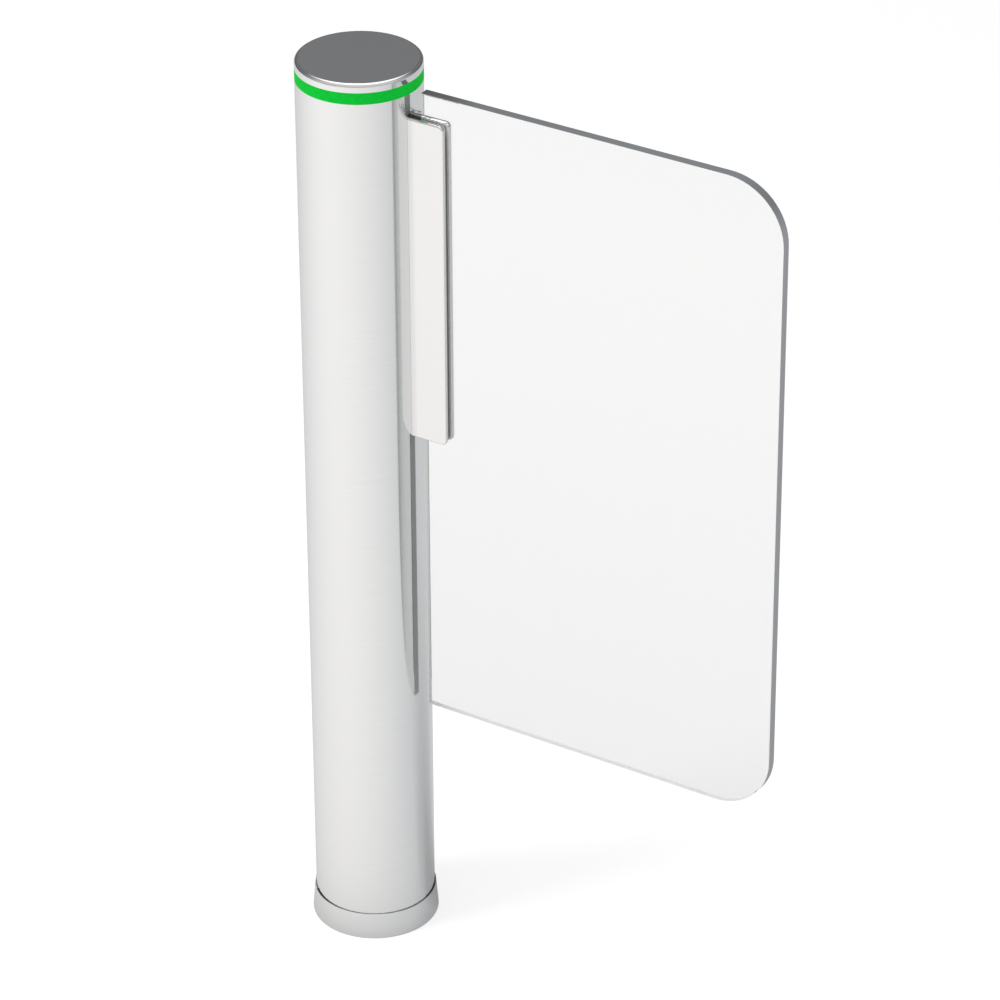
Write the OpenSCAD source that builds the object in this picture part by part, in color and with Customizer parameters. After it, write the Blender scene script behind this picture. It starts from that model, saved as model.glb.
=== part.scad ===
// Swing barrier gate: a round stainless post that turns about its own axis
// and carries one glass wing in a tall two-plate clamp.
// Millimetres. The origin is on the floor at the post's axis, +Z is up and
// the wing points along +X when the gate is closed.

/* [Post] */
// Floor to the top of the cap
post_h = 1050; // [980:5:1150]
// Outside diameter of the turning tube
tube_d = 133; // [127:1:160]
// Wall of the turning tube
tube_wall = 3; // [2:0.5:4]
// Clear height between the flange and the tube's lower end
tube_lift = 5; // [5:1:8]

/* [Head] */
// Height of the cap above the light ring
cap_h = 9.5; // [9:0.5:16]
// Radius of the cap's upper edge
cap_edge_r = 4; // [2:0.5:5]
// Thickness of the cap's top over its recess
cap_top_t = 5.5; // [5:0.5:6]
// Thickness of the grey disc let into the cap's top
disc_t = 2; // [1:0.5:3]
// Height of the light ring
ring_h = 13; // [8:1:20]
// Radial thickness of the light ring
ring_wall = 5; // [4:0.5:7]
// Depth of the head sleeve inside the tube
sleeve_depth = 14; // [10:1:20]
// Wall of the head sleeve
sleeve_wall = 4; // [3:0.5:6]

/* [Base] */
// Height of the base collar
collar_h = 31; // [26:1:45]
// Sheet thickness of the base collar
collar_wall = 1.2; // [1:0.1:2]
// Running gap between the collar's lip and the tube
collar_gap = 0.5; // [0.5:0.1:1.5]
// How much wider the collar is at the floor than at its lip, on the radius
collar_flare = 2.4; // [1.5:0.1:5]
// Thickness of the floor flange
flange_t = 12; // [8:1:14]
// Bolt circle of the floor anchors
anchor_pcd = 100; // [98:1:104]
// Number of floor anchors
anchor_count = 4; // [3:1:6]
// Clearance hole for one anchor
anchor_hole_d = 12; // [9:1:14]
// Cable entry through the flange
cable_hole_d = 40; // [25:1:60]

/* [Spindle] */
// Radial thickness of the hubs between the bearings and the tube
hub_wall = 11.5; // [6:0.5:15]
// Radial thickness of the two bearings
bearing_wall = 14; // [10:1:17]
// Wall of the fixed spindle
spindle_wall = 3.5; // [2.5:0.5:4]
// Height of the two bearings
bearing_h = 16; // [12:1:24]
// Height of the lower bearing above the flange
bearing_lift = 48; // [40:1:80]
// Radial running clearance of the bearings and the shaft
run_gap = 0.05; // [0.03:0.01:0.1]

/* [Drive] */
// Thickness of the plate that carries the drive
drive_plate_t = 10; // [8:1:14]
// Radial gap between the motor and the spindle
motor_gap = 4.5; // [2:0.5:8]
// Motor length
motor_h = 130; // [100:5:180]
// Gearbox diameter
gear_d = 92; // [80:1:104]
// Gearbox height
gear_h = 62; // [50:1:80]
// Output shaft diameter
shaft_d = 20; // [16:1:28]
// Depth of the shaft's seat in the gearbox
shaft_seat = 14; // [10:1:20]
// Clear height under the shaft's end
shaft_float = 0.5; // [0.3:0.1:1]
// Clear height between the gearbox and the drive hub
hub_lift = 8; // [5:1:12]
// Thickness of the drive hub
hub_t = 14; // [10:1:20]
// Clear height between the drive hub and the head sleeve
head_room = 12; // [5:1:40]

/* [Wing] */
// Thickness of the glass
pane_t = 12; // [8:1:15]
// Post axis to the free edge of the glass
pane_reach = 500; // [400:5:650]
// Floor to the lower edge of the glass
pane_foot = 296; // [200:1:350]
// Cap top down to the upper edge of the glass
pane_drop = 19.5; // [10:0.5:40]
// Radius of the two outer corners
pane_corner_r = 66; // [20:1:100]
// Gap between the tube and the glass
pane_gap = 12; // [10:0.5:20]
// Width of the ground arris on every edge
arris = 0.7; // [0.5:0.1:1.5]

/* [Clamp] */
// Height of the clamp plates
clamp_h = 371.5; // [250:0.5:450]
// Glass top down to the clamp's upper edge
clamp_drop = 29; // [15:1:60]
// Reach of the clamp plates beyond the tube
clamp_reach = 41.5; // [34:0.5:48]
// Thickness of one clamp plate
plate_t = 5; // [4.5:0.5:10]
// Edge rounding of the clamp plates
plate_edge_r = 2; // [1:0.25:2]
// Corner radius of the clamp plates
plate_corner_r = 6; // [5:0.5:8]
// Thickness of one gasket
gasket_t = 0.5; // [0.5:0.25:2.5]
// How far the gaskets stay back from the plates' outline
gasket_inset = 3; // [1:0.5:4]
// How far the spine stays below the plates' ends
spine_inset = 4; // [2:0.5:8]

/* [Hidden] */
$fn = 96;
eps = 0.01;          // overshoot of a cutter past the face that it cuts

steel = "Gainsboro";
polished = "WhiteSmoke";
dark = "DimGray";
rubber = [0.08, 0.08, 0.09];

// post
tube_r = tube_d / 2;
bore_r = tube_r - tube_wall;
tube_z = flange_t + tube_lift;
ring_z = post_h - cap_h - ring_h;
cap_z = post_h - cap_h;
// base
lip_in_r = tube_r + collar_gap;
floor_in_r = lip_in_r + collar_flare;
seat_gap = 0.3;      // collar to flange
flange_r = floor_in_r - collar_flare * flange_t / collar_h - seat_gap;
// spindle, from the tube inwards
bearing_r = bore_r - hub_wall - run_gap;
spindle_r = bearing_r - bearing_wall;
spindle_bore_r = spindle_r - spindle_wall;
// drive, from the head downwards
sleeve_z = ring_z - sleeve_depth;
hub_z = sleeve_z - head_room - hub_t;
gear_z = hub_z - hub_lift - gear_h;
drive_plate_z = gear_z - drive_plate_t;
drive_plate_r = bearing_r;
spindle_top = drive_plate_z;
lower_bearing_z = flange_t + bearing_lift;
upper_bearing_z = spindle_top - bearing_h;
// wing
pane_in = tube_r + pane_gap;
pane_top = post_h - pane_drop;
pane_h = pane_top - pane_foot;
clamp_top = pane_top - clamp_drop;
clamp_z = clamp_top - clamp_h;
clamp_end = tube_r + clamp_reach;
gasket_y = pane_t / 2;               // inner face of a gasket
plate_y = gasket_y + gasket_t;       // inner face of a plate

// ---- helpers ----

// Ring with square edges
module ring(outer, inner, height) {
    difference() {
        cylinder(r = outer, h = height);
        translate([0, 0, -eps]) cylinder(r = inner, h = height + 2 * eps);
    }
}

// Rounded rectangle with its lower left corner at the origin
module rounded_rect(w, h, r) {
    translate([r, 0]) square([w - 2 * r, h]);
    translate([0, r]) square([w, h - 2 * r]);
    for (x = [r, w - r], y = [r, h - r]) translate([x, y]) circle(r);
}

// Flat plate w by h, lying on XY, with the edges of both faces rounded all round
module soft_plate(w, h, t, corner, edge) {
    inner = corner - edge;
    translate([0, 0, edge]) linear_extrude(t - 2 * edge) rounded_rect(w, h, corner);
    translate([edge, edge]) linear_extrude(t)
        rounded_rect(w - 2 * edge, h - 2 * edge, inner);
    for (level = [edge, t - edge]) translate([0, 0, level]) {
        for (y = [edge, h - edge])
            translate([corner, y, 0]) rotate([0, 90, 0])
                cylinder(r = edge, h = w - 2 * corner);
        for (x = [edge, w - edge])
            translate([x, corner, 0]) rotate([-90, 0, 0])
                cylinder(r = edge, h = h - 2 * corner);
        for (x = [corner, w - corner], y = [corner, h - corner])
            translate([x, y, 0]) rotate_extrude()
                translate([inner, 0]) intersection() {
                    circle(edge);
                    translate([-inner, -edge]) square([corner, 2 * edge]);
                }
    }
}

// ---- fixed pieces ----

module base_flange() {
    color(dark) difference() {
        cylinder(r = flange_r, h = flange_t);
        translate([0, 0, -eps]) cylinder(d = cable_hole_d, h = flange_t + 2 * eps);
        for (i = [0 : anchor_count - 1])
            rotate([0, 0, (i + 0.5) * 360 / anchor_count])
                translate([anchor_pcd / 2, 0, -eps])
                    cylinder(d = anchor_hole_d, h = flange_t + 2 * eps);
    }
}

// Tapered sheet ring with a rounded lip
module base_collar() {
    lip = collar_wall / 2;
    color(steel) rotate_extrude() {
        polygon([
            [floor_in_r, 0], [floor_in_r + collar_wall, 0],
            [lip_in_r + collar_wall, collar_h - lip], [lip_in_r, collar_h - lip]
        ]);
        translate([lip_in_r + lip, collar_h - lip]) circle(lip);
    }
}

module spindle() {
    color(dark) translate([0, 0, flange_t])
        ring(spindle_r, spindle_bore_r, spindle_top - flange_t);
}

// Bearing on the spindle, with its lower face at z
module bearing(z) {
    color(steel) translate([0, 0, z]) ring(bearing_r, spindle_r, bearing_h);
}

module drive_plate() {
    color(dark) translate([0, 0, drive_plate_z]) cylinder(r = drive_plate_r, h = drive_plate_t);
}

module drive_motor() {
    color(dark) translate([0, 0, drive_plate_z - motor_h])
        cylinder(r = spindle_bore_r - motor_gap, h = motor_h);
}

module gearbox() {
    color(steel) translate([0, 0, gear_z]) difference() {
        cylinder(d = gear_d, h = gear_h);
        translate([0, 0, gear_h - shaft_seat])
            cylinder(r = shaft_d / 2 + run_gap, h = shaft_seat + eps);
    }
}

// ---- turning pieces ----

module post_tube() {
    color(steel) translate([0, 0, tube_z]) ring(tube_r, bore_r, ring_z - tube_z);
}

// Ring that turns on a bearing and carries the tube
module bearing_hub(z) {
    color(dark) translate([0, 0, z]) ring(bore_r, bearing_r + run_gap, bearing_h);
}

module output_shaft() {
    shaft_z = gear_z + gear_h - shaft_seat + shaft_float;
    color(polished) translate([0, 0, shaft_z]) cylinder(d = shaft_d, h = hub_z + hub_t - shaft_z);
}

module drive_hub() {
    color(dark) translate([0, 0, hub_z]) ring(bore_r, shaft_d / 2, hub_t);
}

// Stepped sleeve that joins the tube, the light ring and the cap
module head_sleeve() {
    step_r = tube_r - ring_wall;
    in_r = step_r - sleeve_wall;
    color(dark) {
        translate([0, 0, sleeve_z]) ring(bore_r, in_r, sleeve_depth);
        translate([0, 0, ring_z]) ring(step_r, in_r, ring_h + cap_h - cap_top_t);
    }
}

module light_ring() {
    color([0.05, 0.75, 0.2]) translate([0, 0, ring_z]) ring(tube_r, tube_r - ring_wall, ring_h);
}

module cap() {
    recess_r = tube_r - ring_wall;
    color(polished) translate([0, 0, cap_z]) difference() {
        rotate_extrude() {
            square([tube_r, cap_h - cap_edge_r]);
            square([tube_r - cap_edge_r, cap_h]);
            intersection() {
                translate([tube_r - cap_edge_r, cap_h - cap_edge_r]) circle(cap_edge_r);
                square([tube_r, cap_h]);
            }
        }
        translate([0, 0, -eps]) cylinder(r = recess_r, h = cap_h - cap_top_t + eps);
        translate([0, 0, cap_h - disc_t]) cylinder(r = tube_r - cap_edge_r, h = disc_t + eps);
    }
}

// Flush inlay in the cap's top
module cap_disc() {
    color("Gray") translate([0, 0, post_h - disc_t]) cylinder(r = tube_r - cap_edge_r, h = disc_t);
}

// Bar between the two gaskets, from the tube to the glass
module clamp_spine() {
    color(dark) difference() {
        translate([0, -gasket_y, clamp_z + spine_inset])
            cube([pane_in, pane_t, clamp_h - 2 * spine_inset]);
        translate([0, 0, clamp_z]) cylinder(r = tube_r, h = clamp_h);
    }
}

// Turns a plate that lies on XY upright, with its soft side facing out, on
// the front (side -1) or the back (side 1) of the XZ plane
module upright(side, inner_y) {
    translate([0, side * inner_y, clamp_z]) mirror([0, side > 0 ? 1 : 0, 0])
        rotate([90, 0, 0]) children();
}

// One plate of the clamp, scribed to the tube
module clamp_plate(side) {
    color(steel) difference() {
        upright(side, plate_y) soft_plate(clamp_end, clamp_h, plate_t, plate_corner_r, plate_edge_r);
        translate([0, 0, clamp_z - eps]) cylinder(r = tube_r, h = clamp_h + 2 * eps);
    }
}

// Rubber sheet between a plate and the glass, also scribed to the tube
module gasket(side) {
    color(rubber) difference() {
        upright(side, gasket_y) translate([0, gasket_inset]) linear_extrude(gasket_t)
            rounded_rect(clamp_end - gasket_inset, clamp_h - 2 * gasket_inset,
                         plate_corner_r - gasket_inset);
        translate([0, 0, clamp_z]) cylinder(r = tube_r, h = clamp_h);
    }
}

// Section across the pane's rim: the outer edge is at u and carries the arris
module rim_section(inner, outer) {
    polygon([
        [inner, -pane_t / 2], [outer - arris, -pane_t / 2], [outer, arris - pane_t / 2],
        [outer, pane_t / 2 - arris], [outer - arris, pane_t / 2], [inner, pane_t / 2]
    ]);
}

// Pane with square inner corners, round outer corners and an arris all round
module glass_wing() {
    corner_x = pane_reach - pane_corner_r;
    mid_z = pane_foot + pane_h / 2;
    color("LightCyan", 0.35) intersection() {
        union() {
            // between the inner edge and the corner centres, over the full height
            for (up = [0, 1])
                translate([0, 0, mid_z]) mirror([0, 0, 1 - up])
                    translate([corner_x, 0, 0]) rotate([0, -90, 0])
                        linear_extrude(corner_x - pane_in) rim_section(0, pane_h / 2);
            // outer strip between the corner centres
            translate([0, 0, pane_foot + pane_corner_r])
                linear_extrude(pane_h - 2 * pane_corner_r) rim_section(corner_x, pane_reach);
            for (z = [pane_foot + pane_corner_r, pane_top - pane_corner_r])
                translate([corner_x, 0, z]) rotate([90, 0, 0])
                    rotate_extrude() rim_section(0, pane_corner_r);
        }
        // arris of the inner edge
        translate([pane_reach, 0, pane_foot - eps]) mirror([1, 0, 0])
            linear_extrude(pane_h + 2 * eps) rim_section(-eps, pane_reach - pane_in);
    }
}

base_flange();
base_collar();
spindle();
bearing(lower_bearing_z);  // lower_bearing
bearing(upper_bearing_z);  // upper_bearing
drive_plate();
drive_motor();
gearbox();
post_tube();
bearing_hub(lower_bearing_z);  // lower_hub
bearing_hub(upper_bearing_z);  // upper_hub
output_shaft();
drive_hub();
head_sleeve();
light_ring();
cap();
cap_disc();
clamp_spine();
clamp_plate(-1);  // clamp_plate_front
clamp_plate(1);  // clamp_plate_back
gasket(-1);  // gasket_front
gasket(1);  // gasket_back
glass_wing();
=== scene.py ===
# %% [markdown]
# # A swing gate with a glass wing
# A round stainless post stands on the floor and turns on its own axis. It
# carries one glass wing in a tall clamp, and a green light ring sits under
# its cap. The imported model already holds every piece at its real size, so
# this lesson is about surfaces and light: brushed steel, clear glass with a
# ground rim, a lit ring, and two small pieces that the solids leave out, the
# clamp's screws and the lips of its gaskets.

# %% Load the frame
import math

import bmesh
import bpy
from mathutils import Matrix, Vector


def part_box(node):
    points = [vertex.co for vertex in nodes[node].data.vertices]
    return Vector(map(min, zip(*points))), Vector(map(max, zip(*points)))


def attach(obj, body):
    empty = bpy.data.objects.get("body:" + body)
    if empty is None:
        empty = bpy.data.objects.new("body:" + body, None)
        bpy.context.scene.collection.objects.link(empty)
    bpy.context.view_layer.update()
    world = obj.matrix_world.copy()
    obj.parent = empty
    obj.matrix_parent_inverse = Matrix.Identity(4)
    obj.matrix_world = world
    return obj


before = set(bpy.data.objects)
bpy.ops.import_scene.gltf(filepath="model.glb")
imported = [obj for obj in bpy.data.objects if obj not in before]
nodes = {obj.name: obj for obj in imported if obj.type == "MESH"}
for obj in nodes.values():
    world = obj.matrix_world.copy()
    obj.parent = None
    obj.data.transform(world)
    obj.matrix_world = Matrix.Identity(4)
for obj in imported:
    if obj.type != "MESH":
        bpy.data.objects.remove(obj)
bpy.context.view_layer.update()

# %% [markdown]
# ## The camera
# A camera is a point, a direction and a lens. It is easier to think of the
# spot that it looks at, how far off it stands, and its angles around and
# above that spot, so those are the named values, and the place and the
# rotation are worked out from them. A long lens keeps the post's sides
# nearly parallel.

# %% Camera
LOOK_AT = Vector((0.16732, 0.0, 0.57709))   # on the wing, a little above its middle
CAMERA_DISTANCE = 5.08767
CAMERA_AROUND = math.radians(31.8972)       # from -Y towards +X
CAMERA_ABOVE = math.radians(30.2697)
CAMERA_ROLL = math.radians(0.2776)
LENS_MM = 173.73
SENSOR_MM = 36.0


def put_in_scene(name, data):
    thing = bpy.data.objects.new(name, data)
    bpy.context.scene.collection.objects.link(thing)
    return thing


def facing(direction):
    """The rotation of a camera or a lamp that points in a direction."""
    return direction.to_track_quat("-Z", "Y").to_matrix().to_4x4()


away = Vector((
    math.sin(CAMERA_AROUND) * math.cos(CAMERA_ABOVE),
    -math.cos(CAMERA_AROUND) * math.cos(CAMERA_ABOVE),
    math.sin(CAMERA_ABOVE),
))
camera = put_in_scene("camera", bpy.data.cameras.new("camera"))
camera.matrix_world = (Matrix.Translation(LOOK_AT + away * CAMERA_DISTANCE) @ facing(-away)
                       @ Matrix.Rotation(-CAMERA_ROLL, 4, "Z"))
camera.data.lens = LENS_MM
camera.data.sensor_width = SENSOR_MM
bpy.context.scene.camera = camera
print("camera at", [round(v, 3) for v in camera.matrix_world.translation])

# %% [markdown]
# ## Building a node graph
# Every finish below is a small node graph. Three helpers keep the graphs
# short: one starts a material, one adds a node and sets its plain sockets,
# and one joins two sockets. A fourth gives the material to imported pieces.

# %% Graph helpers
def new_material(name):
    """An empty node material, its tree and its output node."""
    material = bpy.data.materials.new(name)
    material.use_nodes = True
    tree = material.node_tree
    tree.nodes.clear()
    return material, tree, tree.nodes.new("ShaderNodeOutputMaterial")


def add(tree, kind, settings=None, **sockets):
    """A node of that kind. settings are its own properties; sockets are inputs by name."""
    node = tree.nodes.new(kind)
    for key, value in (settings or {}).items():
        setattr(node, key, value)
    for key, value in sockets.items():
        node.inputs[key.replace("_", " ")].default_value = value
    return node


def link(tree, source, target):
    tree.links.new(source, target)


def dress(material, *node_names):
    """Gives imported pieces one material."""
    for node_name in node_names:
        mesh = nodes[node_name].data
        mesh.materials.clear()
        mesh.materials.append(material)
    print(material.name, "on", ", ".join(node_names))


print("pieces to dress:", len(nodes))

# %% [markdown]
# ## Colours, numbers and sums
# A finish is rarely one flat colour. A ramp turns a value into a colour, and
# a range node moves a value into the range that a socket asks for. One more
# helper does a sum on sockets or plain numbers, and one mixes two shaders.

# %% Value helpers
def rgba(colour):
    return tuple(colour) + (1.0,)


def grey(level):
    return (level, level, level)


def shade(colour, factor):
    return tuple(c * factor for c in colour)


def ramp(tree, factor, stops):
    """A colour ramp from (position, colour) stops; returns its colour socket."""
    node = tree.nodes.new("ShaderNodeValToRGB")
    elements = node.color_ramp.elements
    while len(elements) < len(stops):
        elements.new(1.0)
    for element, (position, colour) in zip(elements, stops):
        element.position = position
        element.color = rgba(colour)
    link(tree, factor, node.inputs["Fac"])
    return node.outputs["Color"]


def remap(tree, value, low, high, to_low, to_high):
    """A value moved from one range to another and kept inside it."""
    node = add(tree, "ShaderNodeMapRange", None, From_Min=low, From_Max=high,
               To_Min=to_low, To_Max=to_high)
    link(tree, value, node.inputs["Value"])
    return node.outputs["Result"]


def feed(tree, socket, value):
    """Gives a socket another socket's value or a plain number."""
    if isinstance(value, (int, float)):
        socket.default_value = value
    else:
        link(tree, value, socket)


def maths(tree, operation, first, second=0.0):
    """One sum on two values; each is a socket or a plain number."""
    node = add(tree, "ShaderNodeMath", {"operation": operation})
    feed(tree, node.inputs[0], first)
    feed(tree, node.inputs[1], second)
    return node.outputs[0]


def rest_of(tree, share):
    """What a share leaves of one."""
    return maths(tree, "SUBTRACT", 1.0, share)


def blend(tree, factor, first, second):
    """Two shaders mixed by a factor, which is a socket or a plain number."""
    node = tree.nodes.new("ShaderNodeMixShader")
    feed(tree, node.inputs[0], factor)
    link(tree, first, node.inputs[1])
    link(tree, second, node.inputs[2])
    return node.outputs[0]


print("steel grey as a colour:", rgba(grey(0.9)))

# %% [markdown]
# ## Noise and relief
# No real surface is even. Noise on the piece's own coordinates, stretched as
# the surface needs, moves its colour, its roughness and its relief a little.
# Noise seldom leaves the middle of its range, so only that part is used.

# %% Noise helpers
NOISE_LOW, NOISE_HIGH = 0.3, 0.7
RELIEF_DEPTH = 0.0002         # m between the lowest and the highest point


def pattern(tree, stretch, detail=4.0, roughness=0.6):
    """Noise on the piece's own coordinates; stretch is its scale along x, y and z."""
    place = add(tree, "ShaderNodeTexCoord")
    scale = add(tree, "ShaderNodeMapping", None, Scale=stretch)
    noise = add(tree, "ShaderNodeTexNoise", None, Scale=1.0, Detail=detail, Roughness=roughness)
    link(tree, place.outputs["Object"], scale.inputs["Vector"])
    link(tree, scale.outputs["Vector"], noise.inputs["Vector"])
    return noise.outputs["Fac"]


def mottle(tree, noise, dark, light):
    """A colour that the noise moves between two shades."""
    return ramp(tree, noise, [(NOISE_LOW, dark), (NOISE_HIGH, light)])


def waver(tree, noise, middle, share):
    """A number that the noise moves by a share of itself, up or down."""
    return remap(tree, noise, NOISE_LOW, NOISE_HIGH,
                 middle * (1.0 - share), middle * (1.0 + share))


def relief(tree, height, strength, shader):
    """Bump from a height, plugged into a shader."""
    bump = add(tree, "ShaderNodeBump", None, Strength=strength, Distance=RELIEF_DEPTH)
    link(tree, height, bump.inputs["Height"])
    link(tree, bump.outputs["Normal"], shader.inputs["Normal"])


print("relief depth:", RELIEF_DEPTH * 1000, "mm")

# %% [markdown]
# ## Brushed steel
# Fine emery leaves short hairlines that run around a tube. Their slopes face
# up and down, so a reflection is smeared up and down and stays sharp from
# side to side. No image is needed for the lines: a noise that is squeezed
# along Z gives the same streaks at any size. The shader's anisotropy does
# the smear. It needs the direction in which the reflection spreads, and that
# is straight up everywhere on an upright piece.

# %% Brushed steel
HAIRLINES = (16.0, 16.0, 1100.0)        # long around the tube, fine along its height
SLOW_BANDS = (2.0, 2.0, 14.0)           # where the belt pressed harder
WEAR = 0.2                              # share by which the roughness wavers


def brushed_steel(name, colour, rough, smear, streak, bump):
    """Upright steel with hairlines around it. rough is the mean roughness, smear the
    anisotropy, streak how much darker the deepest lines are, bump their relief."""
    material, tree, out = new_material(name)
    shader = add(tree, "ShaderNodeBsdfPrincipled", None, Metallic=1.0, Anisotropic=smear)
    hairlines = pattern(tree, HAIRLINES, detail=5.0, roughness=0.65)
    bands = pattern(tree, SLOW_BANDS, detail=2.0, roughness=0.5)
    link(tree, mottle(tree, hairlines, shade(colour, 1.0 - streak), colour),
         shader.inputs["Base Color"])
    wear = maths(tree, "ADD", maths(tree, "MULTIPLY", hairlines, 0.5),
                 maths(tree, "MULTIPLY", bands, 0.5))
    link(tree, waver(tree, wear, rough, WEAR), shader.inputs["Roughness"])
    relief(tree, hairlines, bump, shader)
    upright = add(tree, "ShaderNodeCombineXYZ", None, Z=1.0)
    link(tree, upright.outputs["Vector"], shader.inputs["Tangent"])
    link(tree, shader.outputs["BSDF"], out.inputs["Surface"])
    return material


dress(brushed_steel("post_steel", grey(0.91), rough=0.11, smear=0.9, streak=0.04, bump=0.06),
      "post_tube")
dress(brushed_steel("clamp_steel", (0.92, 0.915, 0.91), rough=0.12, smear=0.9, streak=0.03,
                    bump=0.05), "clamp_plate_front", "clamp_plate_back")
dress(brushed_steel("collar_steel", (0.88, 0.885, 0.89), rough=0.14, smear=0.7, streak=0.04,
                    bump=0.06), "base_collar")

# %% [markdown]
# ## Polished steel
# The cap's rim is polished, not brushed: the same metal with a low, even
# roughness and only a breath of cloudiness, so its rounded edge catches one
# thin, bright line of light.

# %% Polished steel
CLOUDS = (60.0, 60.0, 60.0)
CLOUD_SHADE = 0.98                      # share of the colour that is left in a cloud
TURNING_LINES = (30.0, 30.0, 900.0)     # faint lines that the lathe leaves around the cap
TURNING_RELIEF = 0.02


def polished_steel(name, colour, rough):
    material, tree, out = new_material(name)
    shader = add(tree, "ShaderNodeBsdfPrincipled", None, Metallic=1.0)
    clouds = pattern(tree, CLOUDS, detail=3.0)
    link(tree, mottle(tree, clouds, shade(colour, CLOUD_SHADE), colour),
         shader.inputs["Base Color"])
    link(tree, waver(tree, clouds, rough, WEAR), shader.inputs["Roughness"])
    relief(tree, pattern(tree, TURNING_LINES), TURNING_RELIEF, shader)
    link(tree, shader.outputs["BSDF"], out.inputs["Surface"])
    return material


dress(polished_steel("cap_steel", (0.9, 0.9, 0.905), rough=0.12), "cap")

# %% [markdown]
# ## Paint, rubber and bare metal inside
# The disc in the cap, the gaskets, the bar in the clamp and the drive inside the post share one
# recipe: a colour with a trace of grain in its shade, its roughness and its relief, so that none
# of them is dead flat. The disc's dark grey is a painted reflection of the dark room that a
# steel top would mirror.

# %% Satin finishes
GRAIN_SCALE = (900.0, 900.0, 900.0)
GRAIN_WEAR = 0.15                       # share by which the roughness wavers
GRAIN_RELIEF = 0.05


def satin(name, colour, rough, metallic=0.0, grain=0.04):
    """grain is the share by which the shade varies."""
    material, tree, out = new_material(name)
    shader = add(tree, "ShaderNodeBsdfPrincipled", None, Metallic=metallic)
    speckle = pattern(tree, GRAIN_SCALE, detail=3.0)
    link(tree, mottle(tree, speckle, shade(colour, 1.0 - grain), shade(colour, 1.0 + grain)),
         shader.inputs["Base Color"])
    link(tree, waver(tree, speckle, rough, GRAIN_WEAR), shader.inputs["Roughness"])
    relief(tree, speckle, GRAIN_RELIEF, shader)
    link(tree, shader.outputs["BSDF"], out.inputs["Surface"])
    return material


# Painted reflection: the disc's dark grey stands in for a dark room mirrored in the cap's top.
dress(satin("cap_grey", (0.178, 0.185, 0.192), 0.5, grain=0.01), "cap_disc")
gasket_rubber = satin("gasket_rubber", grey(0.88), 0.6)
dress(gasket_rubber, "gasket_front", "gasket_back")
dress(satin("black_bar", (0.02, 0.02, 0.022), 0.4), "clamp_spine")
dress(satin("flange_zinc", (0.42, 0.43, 0.44), 0.45, metallic=0.8),
      "base_flange", "spindle", "drive_plate")
dress(satin("turned_steel", (0.60, 0.61, 0.62), 0.3, metallic=1.0),
      "lower_bearing", "upper_bearing", "lower_hub", "upper_hub", "output_shaft",
      "drive_hub", "head_sleeve")
dress(satin("drive_paint", (0.03, 0.032, 0.035), 0.5), "drive_motor")
dress(satin("gear_case", (0.55, 0.56, 0.57), 0.4, metallic=1.0), "gearbox")

# %% [markdown]
# ## The light ring
# A ring of green light behind a milky wall. The wall glows by itself and
# takes a little light from outside too. A fine grain in its colour keeps the
# band from looking printed.

# %% Light ring
MILKY_GRAIN = (160.0, 160.0, 260.0)
GRAIN_SHADE = 0.1                       # share by which the grain shifts the green


def lit_ring(name, colour, glow):
    material, tree, out = new_material(name)
    shader = add(tree, "ShaderNodeBsdfPrincipled", None, Roughness=0.6)
    shader.inputs["Specular IOR Level"].default_value = 0.05    # the wall hardly shines
    shader.inputs["Emission Strength"].default_value = glow
    tint = mottle(tree, pattern(tree, MILKY_GRAIN, roughness=0.7),
                  shade(colour, 1.0 - GRAIN_SHADE), shade(colour, 1.0 + GRAIN_SHADE))
    link(tree, tint, shader.inputs["Base Color"])
    link(tree, tint, shader.inputs["Emission Color"])
    link(tree, shader.outputs["BSDF"], out.inputs["Surface"])
    return material


dress(lit_ring("light_ring", (0.004, 0.48, 0.035), glow=0.3), "light_ring")

# %% [markdown]
# ## The pane's faces
# Seen through its faces the pane is clear with a trace of grey, which painted shade makes a
# little deeper towards the floor. Painted shade also dims the pane at a glancing angle, where a
# dark diffuse is mixed in.

# %% Glass faces
GLASS_IOR = 1.5
# Painted shade: between these heights the tint darkens towards the floor.
PAINTED_SHADE_FROM, PAINTED_SHADE_TO = 0.25, 0.95         # m above the floor between which the grey fades
DEEPEST_PAINTED_SHADE = 0.89                     # share of the tint that is left at the lower end
GLANCING_SHADE_RISE = 7.0                         # how late the painted glancing shade sets in as the view grows flatter


def glass_face(tree, place, tint, glancing_shade):
    """The clear body. The last argument is the share of painted shade, a dark diffuse, that is
    mixed in at the most glancing angle.
    """
    pane = add(tree, "ShaderNodeBsdfPrincipled", None, Roughness=0.0, IOR=GLASS_IOR)
    pane.inputs["Transmission Weight"].default_value = 1.0
    height = remap(tree, place.outputs["Z"], PAINTED_SHADE_FROM, PAINTED_SHADE_TO, 0.0, 1.0)
    link(tree, ramp(tree, height, [(0.0, shade(tint, DEEPEST_PAINTED_SHADE)), (1.0, tint)]),
         pane.inputs["Base Color"])
    # Painted shade: a dark diffuse, mixed in more as the view grows flatter.
    glance = add(tree, "ShaderNodeLayerWeight", None, Blend=0.5)
    dimming = maths(tree, "POWER", glance.outputs["Facing"], GLANCING_SHADE_RISE)
    glancing_dark = add(tree, "ShaderNodeBsdfDiffuse", None, Color=rgba(grey(0.05)))
    return blend(tree, maths(tree, "MULTIPLY", dimming, glancing_shade), pane.outputs["BSDF"],
                 glancing_dark.outputs["BSDF"])


print("grey fades from", PAINTED_SHADE_FROM, "to", PAINTED_SHADE_TO, "m")

# %% [markdown]
# ## The pane's rim
# The rim is ground, so from outside it scatters light and looks dark grey.
# Near the clamp its colour is darker, a painted reflection of the dark bar seen through the
# glass, and at the free edge it is lighter, painted light. The end that faces the post is a pale
# diffuse, a painted reflection of the bright tube that stands right beside it.

# %% Glass rim
RIM_FROM, RIM_TO = 0.08, 0.56           # m along X over which the rim changes
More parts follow.
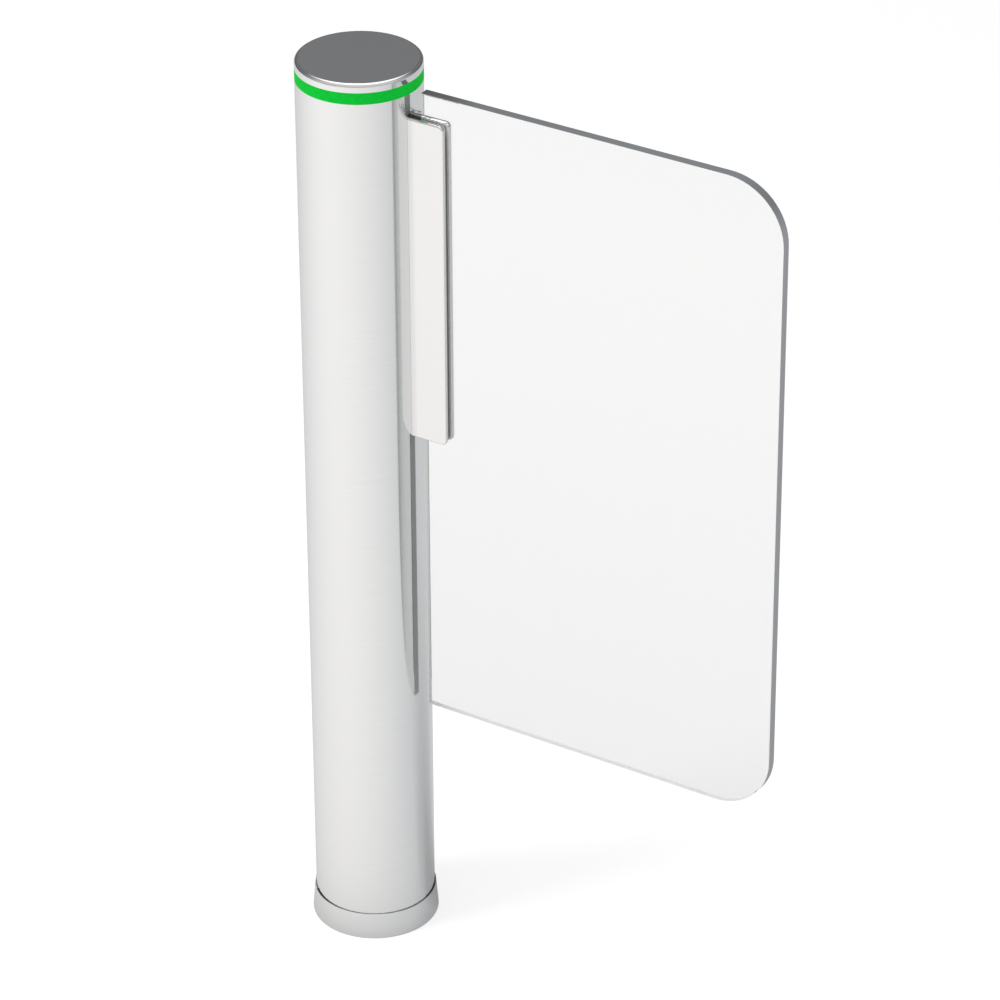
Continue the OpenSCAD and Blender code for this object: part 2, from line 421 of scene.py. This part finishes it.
# place between the two, and the share of the rim's colour there: under 1 is painted shade near
# the clamp, over 1 painted light at the free edge
RIM_PAINTED_STOPS = ((0.0, 0.4), (0.06, 0.5), (0.13, 0.85), (0.5, 1.0), (0.84, 1.0), (0.87, 1.5))
GROUND_GRAIN = (700.0, 700.0, 700.0)
GROUND_RELIEF = 0.1
FACES_POST = 0.7                        # from this part of a normal on, it faces the post


def glass_rim(tree, place, normal, colour):
    rim = add(tree, "ShaderNodeBsdfPrincipled", None, Roughness=0.35, IOR=GLASS_IOR)
    # Painted shade near the clamp and painted light at the free edge, laid along X.
    along = remap(tree, place.outputs["X"], RIM_FROM, RIM_TO, 0.0, 1.0)
    link(tree, ramp(tree, along, [(stop, shade(colour, share)) for stop, share in RIM_PAINTED_STOPS]),
         rim.inputs["Base Color"])
    relief(tree, pattern(tree, GROUND_GRAIN, detail=3.0), GROUND_RELIEF, rim)
    # Painted reflection: a pale diffuse on the end that faces the post stands in for the bright
    # tube beside it.
    painted_post_reflection = add(tree, "ShaderNodeBsdfDiffuse", None, Color=rgba((0.56, 0.57, 0.58)))
    inner_end = maths(tree, "LESS_THAN", normal.outputs["X"], -FACES_POST)
    return blend(tree, inner_end, rim.outputs["BSDF"], painted_post_reflection.outputs["BSDF"])


print("rim shades along X:", len(RIM_PAINTED_STOPS))

# %% [markdown]
# ## Faces and rim together
# The normal tells rim from face, because on the faces it points along Y.
# Only from outside is the rim ground: from inside the pane it stays a mirror, apart from the
# lower edge. Seen from above through the glass, that edge is a near-white diffuse: painted light
# that stands in for the lit floor shining through the ground edge. Seen from inside, a normal is
# turned round, so there it points up. A shadow ray goes straight through, so the pane's shadow
# is pale.

# %% Glass
MOSTLY = 0.5        # a normal points along an axis when this much of it does


def clear_glass(name, tint, rim_colour, glancing_shade):
    material, tree, out = new_material(name)
    source = add(tree, "ShaderNodeTexCoord")
    place = add(tree, "ShaderNodeSeparateXYZ")
    normal = add(tree, "ShaderNodeSeparateXYZ")
    link(tree, source.outputs["Object"], place.inputs["Vector"])
    link(tree, source.outputs["Normal"], normal.inputs["Vector"])
    inside = add(tree, "ShaderNodeNewGeometry").outputs["Backfacing"]

    is_rim = maths(tree, "LESS_THAN", maths(tree, "ABSOLUTE", normal.outputs["Y"]), MOSTLY)
    body = blend(tree, maths(tree, "MULTIPLY", is_rim, rest_of(tree, inside)),
                 glass_face(tree, place, tint, glancing_shade), glass_rim(tree, place, normal, rim_colour))
    # Painted light: seen from inside, the lower edge is near-white, while the same rim from
    # outside is dark grey.
    painted_floor_light = add(tree, "ShaderNodeBsdfDiffuse", None, Color=rgba(grey(0.97)))
    lower_edge = maths(tree, "GREATER_THAN", normal.outputs["Z"], MOSTLY)
    body = blend(tree, maths(tree, "MULTIPLY", inside, lower_edge), body, painted_floor_light.outputs["BSDF"])

    path = add(tree, "ShaderNodeLightPath")
    through = add(tree, "ShaderNodeBsdfTransparent", None, Color=rgba((0.9, 0.92, 0.91)))
    link(tree, blend(tree, path.outputs["Is Shadow Ray"], body, through.outputs["BSDF"]),
         out.inputs["Surface"])
    return material


# The last number is the share of painted glancing shade.
dress(clear_glass("clear_glass", grey(0.905), (0.252, 0.264, 0.278), glancing_shade=0.85), "glass_wing")

# %% [markdown]
# ## One clamp screw
# Button-head screws in the back plate pull the two plates together. A head
# is a low dome with a hexagon socket, so it is turned like a bowl: rings of
# points from the rim to the top, then a ring that lies on the hexagon, its
# copy at the socket's floor, and one point in the middle.

# %% Screw head
HEAD_RADIUS = 0.00475
HEAD_HEIGHT = 0.00275
DOME_ANGLES = (0, 12, 26, 42, 56)       # degrees up the dome, one for each ring
DOME_FULLNESS = 0.8                     # under 1 makes the dome fuller than a ball
TOP_SHARE = 0.5                         # radius of the flat top, as a share of the head's
SOCKET_HALF = 0.0015                    # half the width across the flats
SOCKET_DEPTH = 0.0016
SEGMENTS = 24

tube_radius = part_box("post_tube")[1].x
glass_low, glass_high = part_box("glass_wing")
back_low, back_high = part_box("clamp_plate_back")
screw_x = (tube_radius + glass_low.x) / 2     # through the bar, beside the glass
screw_y = back_high.y


def head_rings():
    """(height above the plate, radius or None for the hexagon) from the rim inwards."""
    dome = [(HEAD_HEIGHT * math.sin(a), HEAD_RADIUS * math.cos(a) ** DOME_FULLNESS)
            for a in (math.radians(d) for d in DOME_ANGLES)]
    return dome + [(HEAD_HEIGHT, HEAD_RADIUS * TOP_SHARE), (HEAD_HEIGHT, None),
                   (HEAD_HEIGHT - SOCKET_DEPTH, None)]


def hexagon(angle):
    """Distance from the middle to the socket's wall in that direction."""
    return SOCKET_HALF / math.cos((angle + math.pi / 6) % (math.pi / 3) - math.pi / 6)


def to_mesh(shape, name):
    """A mesh from a closed bmesh, with all its faces turned outwards."""
    bmesh.ops.recalc_face_normals(shape, faces=shape.faces)
    mesh = bpy.data.meshes.new(name)
    shape.to_mesh(mesh)
    shape.free()
    return mesh


def screw_head(name):
    shape = bmesh.new()
    rings = []
    for height, radius in head_rings():
        ring = []
        for step in range(SEGMENTS):
            angle = 2 * math.pi * step / SEGMENTS
            reach = hexagon(angle) if radius is None else radius
            ring.append(shape.verts.new((screw_x + reach * math.cos(angle), screw_y + height,
                                         reach * math.sin(angle))))
        rings.append(ring)
    middle = shape.verts.new((screw_x, screw_y + HEAD_HEIGHT - SOCKET_DEPTH, 0.0))
    for outer, inner in zip(rings, rings[1:]):
        for step in range(SEGMENTS):
            after = (step + 1) % SEGMENTS
            shape.faces.new((outer[step], outer[after], inner[after], inner[step]))
    for step in range(SEGMENTS):
        shape.faces.new((rings[-1][step], rings[-1][(step + 1) % SEGMENTS], middle))
    shape.faces.new(rings[0][::-1])
    return to_mesh(shape, name)


one_head = screw_head("clamp_screw_head")
print("screw head faces:", len(one_head.polygons))

# %% [markdown]
# ## A tree that makes a row
# The screws stand in one line, evenly spaced, which is what Geometry Nodes
# are good at: a line of points, a head on each, and the result made real.
# The tree's inputs are the number of screws, the height of the first one and
# the step between them, so the row can be changed without touching the head.

# %% Geometry Nodes tree
def row_tree(name):
    tree = bpy.data.node_groups.new(name, "GeometryNodeTree")
    sockets = {}
    for label, kind in (("Geometry", "NodeSocketGeometry"), ("Count", "NodeSocketInt"),
                        ("First Height", "NodeSocketFloat"), ("Step", "NodeSocketFloat"),
                        ("Finish", "NodeSocketMaterial")):
        socket = tree.interface.new_socket(label, in_out="INPUT", socket_type=kind)
        sockets[label] = socket.identifier
    tree.interface.new_socket("Geometry", in_out="OUTPUT", socket_type="NodeSocketGeometry")
    inputs = tree.nodes.new("NodeGroupInput")
    outputs = tree.nodes.new("NodeGroupOutput")
    start = tree.nodes.new("ShaderNodeCombineXYZ")
    offset = tree.nodes.new("ShaderNodeCombineXYZ")
    line = tree.nodes.new("GeometryNodeMeshLine")
    place = tree.nodes.new("GeometryNodeInstanceOnPoints")
    real = tree.nodes.new("GeometryNodeRealizeInstances")
    finish = tree.nodes.new("GeometryNodeSetMaterial")
    for source, target in (
            (inputs.outputs["First Height"], start.inputs["Z"]),
            (inputs.outputs["Step"], offset.inputs["Z"]),
            (inputs.outputs["Count"], line.inputs["Count"]),
            (start.outputs["Vector"], line.inputs["Start Location"]),
            (offset.outputs["Vector"], line.inputs["Offset"]),
            (line.outputs["Mesh"], place.inputs["Points"]),
            (inputs.outputs["Geometry"], place.inputs["Instance"]),
            (place.outputs["Instances"], real.inputs["Geometry"]),
            (real.outputs["Geometry"], finish.inputs["Geometry"]),
            (inputs.outputs["Finish"], finish.inputs["Material"]),
            (finish.outputs["Geometry"], outputs.inputs["Geometry"])):
        link(tree, source, target)
    return tree, sockets


row_group, row_sockets = row_tree("row_of_screws")
print("the row's inputs:", ", ".join(row_sockets))

# %% [markdown]
# ## The row of clamp screws
# A helper object carries the head and the modifier. Its result is kept as a
# plain mesh, so the modifier and the helper can go before the row is tied to
# the wing.

# %% Clamp screws
SCREW_COUNT = 5
END_MARGIN = 0.036            # m from a plate's end to the first screw

maker = put_in_scene("screw_maker", one_head)
row = maker.modifiers.new("row", "NODES")
row.node_group = row_group
row[row_sockets["Count"]] = SCREW_COUNT
row[row_sockets["First Height"]] = back_low.z + END_MARGIN
row[row_sockets["Step"]] = (back_high.z - back_low.z - 2 * END_MARGIN) / (SCREW_COUNT - 1)
row[row_sockets["Finish"]] = satin("screw_steel", (0.62, 0.63, 0.64), 0.25, metallic=1.0)

bpy.context.view_layer.update()
made = maker.evaluated_get(bpy.context.evaluated_depsgraph_get())
clamp_screws = put_in_scene("clamp_screws", bpy.data.meshes.new_from_object(made))
maker.modifiers.remove(row)
bpy.data.objects.remove(maker)
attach(clamp_screws, "wing")
print("clamp screws:", SCREW_COUNT, "faces:", len(clamp_screws.data.polygons))

# %% [markdown]
# ## Gasket lips
# A pane is bedded on soft sheet that comes out nearly to the edge of the
# plates, so the joint between steel and glass shows a thin pale line. Each
# lip is a flat band that follows the plate's outline at a small inset, from
# the inner edge of the glass round both corners and back.

# %% Gasket lips
LIP_INSET = 0.0007            # m from the plate's outline to the lip
SHEET_INSET = 0.003           # m from the plate's outline to the gasket sheet
CORNER_RADIUS = 0.006         # of the plate's outline
SKIN = 0.00001                # keeps the lip off the faces beside it
CORNER_STEPS = 8


def plate_outline(inset):
    """(x, z) points along the plate's free edges, moved inwards."""
    end_x, low_z, high_z = back_high.x - inset, back_low.z + inset, back_high.z - inset
    radius = CORNER_RADIUS - inset
    middle_x = end_x - radius
    turns = [math.pi / 2 * step / CORNER_STEPS for step in range(CORNER_STEPS + 1)]
    top = [(middle_x + radius * math.sin(a), high_z - radius + radius * math.cos(a))
           for a in turns]
    bottom = [(middle_x + radius * math.cos(a), low_z + radius - radius * math.sin(a))
              for a in turns]
    return [(glass_low.x, high_z)] + top + bottom + [(glass_low.x, low_z)]


def gasket_lips(name):
    shape = bmesh.new()
    glass_face = glass_high.y + SKIN
    plate_face = back_low.y - SKIN
    for side in (-1, 1):
        sections = []
        for outer, inner in zip(plate_outline(LIP_INSET), plate_outline(SHEET_INSET)):
            corners = ((outer, glass_face), (outer, plate_face),
                       (inner, plate_face), (inner, glass_face))
            sections.append([shape.verts.new((x, side * y, z)) for (x, z), y in corners])
        for one, after in zip(sections, sections[1:]):
            for k in range(len(one)):
                nxt = (k + 1) % len(one)
                shape.faces.new((one[k], one[nxt], after[nxt], after[k]))
        shape.faces.new(sections[0])
        shape.faces.new(sections[-1][::-1])
    return to_mesh(shape, name)


lips = put_in_scene("gasket_lips", gasket_lips("gasket_lips"))
lips.data.materials.append(gasket_rubber)
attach(lips, "wing")
print("gasket lips:", len(lips.data.polygons), "faces")

# %% [markdown]
# ## Which ray sees what
# Steel is only as good as what it mirrors, so the studio shows a mirrored
# ray more than it shows the eye. A node tells what kind of ray has come: one
# that was mirrored on its way, or one that the eye sees straight or through
# glass. A dot product tells how far a place or a direction lies to one side.

# %% Ray and direction helpers
MIRRORED_FROM = 0.5         # a glossy depth above this is at least one mirroring


def ray_kinds(tree):
    """(1 for a ray that was mirrored, 1 for one that the eye sees straight or through glass)."""
    path = add(tree, "ShaderNodeLightPath")
    bounced = maths(tree, "GREATER_THAN", path.outputs["Glossy Depth"], MIRRORED_FROM)
    mirrored = maths(tree, "MULTIPLY", bounced, rest_of(tree, path.outputs["Is Diffuse Ray"]))
    direct = maths(tree, "MAXIMUM", path.outputs["Is Camera Ray"],
                   path.outputs["Is Transmission Ray"])
    return mirrored, maths(tree, "MULTIPLY", direct, rest_of(tree, bounced))


def towards(tree, vector, aim):
    """How far a vector points towards an aim, as their dot product."""
    match = add(tree, "ShaderNodeVectorMath", {"operation": "DOT_PRODUCT"})
    match.inputs[1].default_value = aim
    link(tree, vector, match.inputs[0])
    return match.outputs["Value"]


def flatten(tree, vector):
    """A place or a direction without its height."""
    flat = add(tree, "ShaderNodeVectorMath", {"operation": "MULTIPLY"})
    flat.inputs[1].default_value = (1.0, 1.0, 0.0)
    link(tree, vector, flat.inputs[0])
    return flat.outputs["Vector"]


def leaning(tree, vector, side):
    """From -1 away from a side to 1 towards it, for a place or a direction."""
    unit = add(tree, "ShaderNodeVectorMath", {"operation": "NORMALIZE"})
    link(tree, flatten(tree, vector), unit.inputs[0])
    return towards(tree, unit.outputs["Vector"], (math.cos(side), math.sin(side), 0.0))


print("a ray counts as mirrored above a glossy depth of", MIRRORED_FROM)

# %% [markdown]
# ## The floor's glow for mirrors
# A mirrored ray sees a glow that leans: brighter towards the front left and
# dimmer at the back right, as the floor of a studio does. That lean draws
# the long soft gradient around the post. The foot hides some of the glow
# right beside it, and the post's shadow takes some behind it.

# %% Glow for mirrors
BRIGHT_SIDE = math.radians(-107.0)      # direction of the bright side, from +X
LEAN_FROM = -0.6                        # from here to the far side the glow is at its least
DIM, BRIGHT = 0.68, 1.19                # strength on either side
COOL = (0.975, 1.0, 1.02)               # tint on the dim side
WARM = (1.01, 1.0, 0.975)               # and on the bright side
FOOT_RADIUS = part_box("base_collar")[1].x
FOOT_SHADE = 0.5                        # share of the glow that the foot hides beside it
FOOT_FALL = 1.6                         # how soon that fades with the distance
SHADOW_SIDE = math.radians(50.0)        # direction in which the post's shadow falls
SHADOW_EDGE = 0.84                      # cosine of the angle from its middle to its edge
SHADOW_SHADE = 0.52                     # share of the glow that the shadow takes
SHADOW_FROM, SHADOW_TO = 0.1, 0.9       # m from the post between which it fades


def mirror_glow(tree, place):
    reach = add(tree, "ShaderNodeVectorMath", {"operation": "LENGTH"})
    link(tree, flatten(tree, place), reach.inputs[0])
    distance = reach.outputs["Value"]
    nearness = maths(tree, "POWER", maths(tree, "DIVIDE", FOOT_RADIUS, distance), FOOT_FALL)
    foot = rest_of(tree, maths(tree, "MULTIPLY", nearness, FOOT_SHADE))
    behind = remap(tree, leaning(tree, place, SHADOW_SIDE), SHADOW_EDGE, 1.0, 0.0, SHADOW_SHADE)
    fading = remap(tree, distance, SHADOW_FROM, SHADOW_TO, 1.0, 0.0)
    shadow = rest_of(tree, maths(tree, "MULTIPLY", behind, fading))
    lean = remap(tree, leaning(tree, place, BRIGHT_SIDE), LEAN_FROM, 1.0, 0.0, 1.0)
    glow = add(tree, "ShaderNodeEmission")
    link(tree, maths(tree, "MULTIPLY", remap(tree, lean, 0.0, 1.0, DIM, BRIGHT),
                     maths(tree, "MULTIPLY", foot, shadow)), glow.inputs["Strength"])
    link(tree, ramp(tree, lean, [(0.0, COOL), (1.0, WARM)]), glow.inputs["Color"])
    return glow.outputs["Emission"]


print("foot radius:", round(FOOT_RADIUS, 4), "m")

# %% [markdown]
# ## The floor
# The floor is pale paint, so it keeps the gate's shadow, and the eye sees it
# with a white glow of its own, straight or through the glass. A mirrored ray
# sees half of the paint and half of the leaning glow.

# %% Floor
FLOOR_SIZE = 30.0
PAINT = 0.8
EYE_GLOW = 0.46
PAINT_IN_MIRRORS = 0.5

half = FLOOR_SIZE / 2
floor_mesh = bpy.data.meshes.new("floor")
floor_mesh.from_pydata([(-half, -half, 0), (half, -half, 0), (half, half, 0), (-half, half, 0)],
                       [], [(0, 1, 2, 3)])
floor = put_in_scene("floor", floor_mesh)


def floor_white(name):
    material, tree, out = new_material(name)
    mirrored, seen = ray_kinds(tree)
    paint = add(tree, "ShaderNodeBsdfDiffuse", None, Color=rgba(grey(PAINT)))
    white_glow = add(tree, "ShaderNodeEmission")
    link(tree, maths(tree, "MULTIPLY", seen, EYE_GLOW), white_glow.inputs["Strength"])
    plain = tree.nodes.new("ShaderNodeAddShader")
    link(tree, paint.outputs["BSDF"], plain.inputs[0])
    link(tree, white_glow.outputs["Emission"], plain.inputs[1])
    place = add(tree, "ShaderNodeTexCoord").outputs["Object"]
    mirror_view = blend(tree, PAINT_IN_MIRRORS, mirror_glow(tree, place), paint.outputs["BSDF"])
    link(tree, blend(tree, mirrored, plain.outputs["Shader"], mirror_view),
         out.inputs["Surface"])
    return material


floor_mesh.materials.append(floor_white("floor_white"))
print("floor:", FLOOR_SIZE, "m square")

# %% [markdown]
# ## The room
# Around and above, the room lights everything evenly. A mirrored ray sees
# more: a dim back wall, a lighter front wall that is darker towards the
# floor, and a large soft panel overhead, which draws the bright line along
# the cap's rounded rim.

# %% World
ROOM_LEVEL = 0.70
BACK_WALL, FRONT_WALL = 0.2, 0.8
FRONT = math.radians(-58.0)             # direction of the front wall's middle, from +X
WALL_TURN = 0.5                         # lean at which the front wall or the back wall is full
HORIZON = 0.65                          # share of the wall's level that is left at the floor
RISE_FROM, RISE_TO = 0.05, 0.4          # heights of sight between which the wall brightens
PANEL = (-0.137, 0.219, 0.966)          # direction of the panel, a little behind the gate
PANEL_EDGE, PANEL_CORE = 0.80, 0.93     # cosines between which the panel fades in
PANEL_LEVEL = 1.8


def mirrored_room(tree, way):
    """Strength of the room that a mirrored ray sees."""
    height = add(tree, "ShaderNodeSeparateXYZ")
    link(tree, way, height.inputs["Vector"])
    around = remap(tree, leaning(tree, way, FRONT), -WALL_TURN, WALL_TURN, BACK_WALL, FRONT_WALL)
    walls = maths(tree, "MULTIPLY", around,
                  remap(tree, height.outputs["Z"], RISE_FROM, RISE_TO, HORIZON, 1.0))
    overhead = remap(tree, towards(tree, way, PANEL), PANEL_EDGE, PANEL_CORE, 0.0, 1.0)
    return maths(tree, "ADD", maths(tree, "MULTIPLY", overhead, PANEL_LEVEL),
                 maths(tree, "MULTIPLY", walls, rest_of(tree, overhead)))


world = bpy.data.worlds.new("studio")
bpy.context.scene.world = world
world.use_nodes = True
tree = world.node_tree
tree.nodes.clear()
mirrored, seen = ray_kinds(tree)
even, reflected = add(tree, "ShaderNodeBackground"), add(tree, "ShaderNodeBackground")
link(tree, remap(tree, seen, 0.0, 1.0, ROOM_LEVEL, 1.0), even.inputs["Strength"])
way = add(tree, "ShaderNodeTexCoord").outputs["Generated"]
link(tree, mirrored_room(tree, way), reflected.inputs["Strength"])
out = tree.nodes.new("ShaderNodeOutputWorld")
link(tree, blend(tree, mirrored, even.outputs["Background"], reflected.outputs["Background"]),
     out.inputs["Surface"])
print("room level:", ROOM_LEVEL, "panel level:", PANEL_LEVEL)

# %% [markdown]
# ## Lamps
# Two large soft lamps model the gate a little: a key from the front left and
# a weaker fill from the right. They are large, so their shadows are faint
# and wide. Polished metal would mirror them as hard squares, so they are
# hidden from mirrored rays, and the room draws the highlights.

# %% Lamps
LAMP_AIM = Vector((0.1, 0.0, 0.5))


def lamp(name, place, size, power):
    light = bpy.data.lights.new(name, "AREA")
    light.shape = "SQUARE"
    light.size = size
    light.energy = power
    thing = put_in_scene(name, light)
    thing.visible_glossy = False
    place = Vector(place)
    thing.matrix_world = Matrix.Translation(place) @ facing(LAMP_AIM - place)
    print(name, "lamp:", power, "W")


lamp("key", (-2.1, -2.42, 3.4), 1.7, 58.0)
lamp("fill", (2.2, -1.75, 3.2), 1.6, 20.0)

bpy.context.scene.view_settings.view_transform = "Standard"
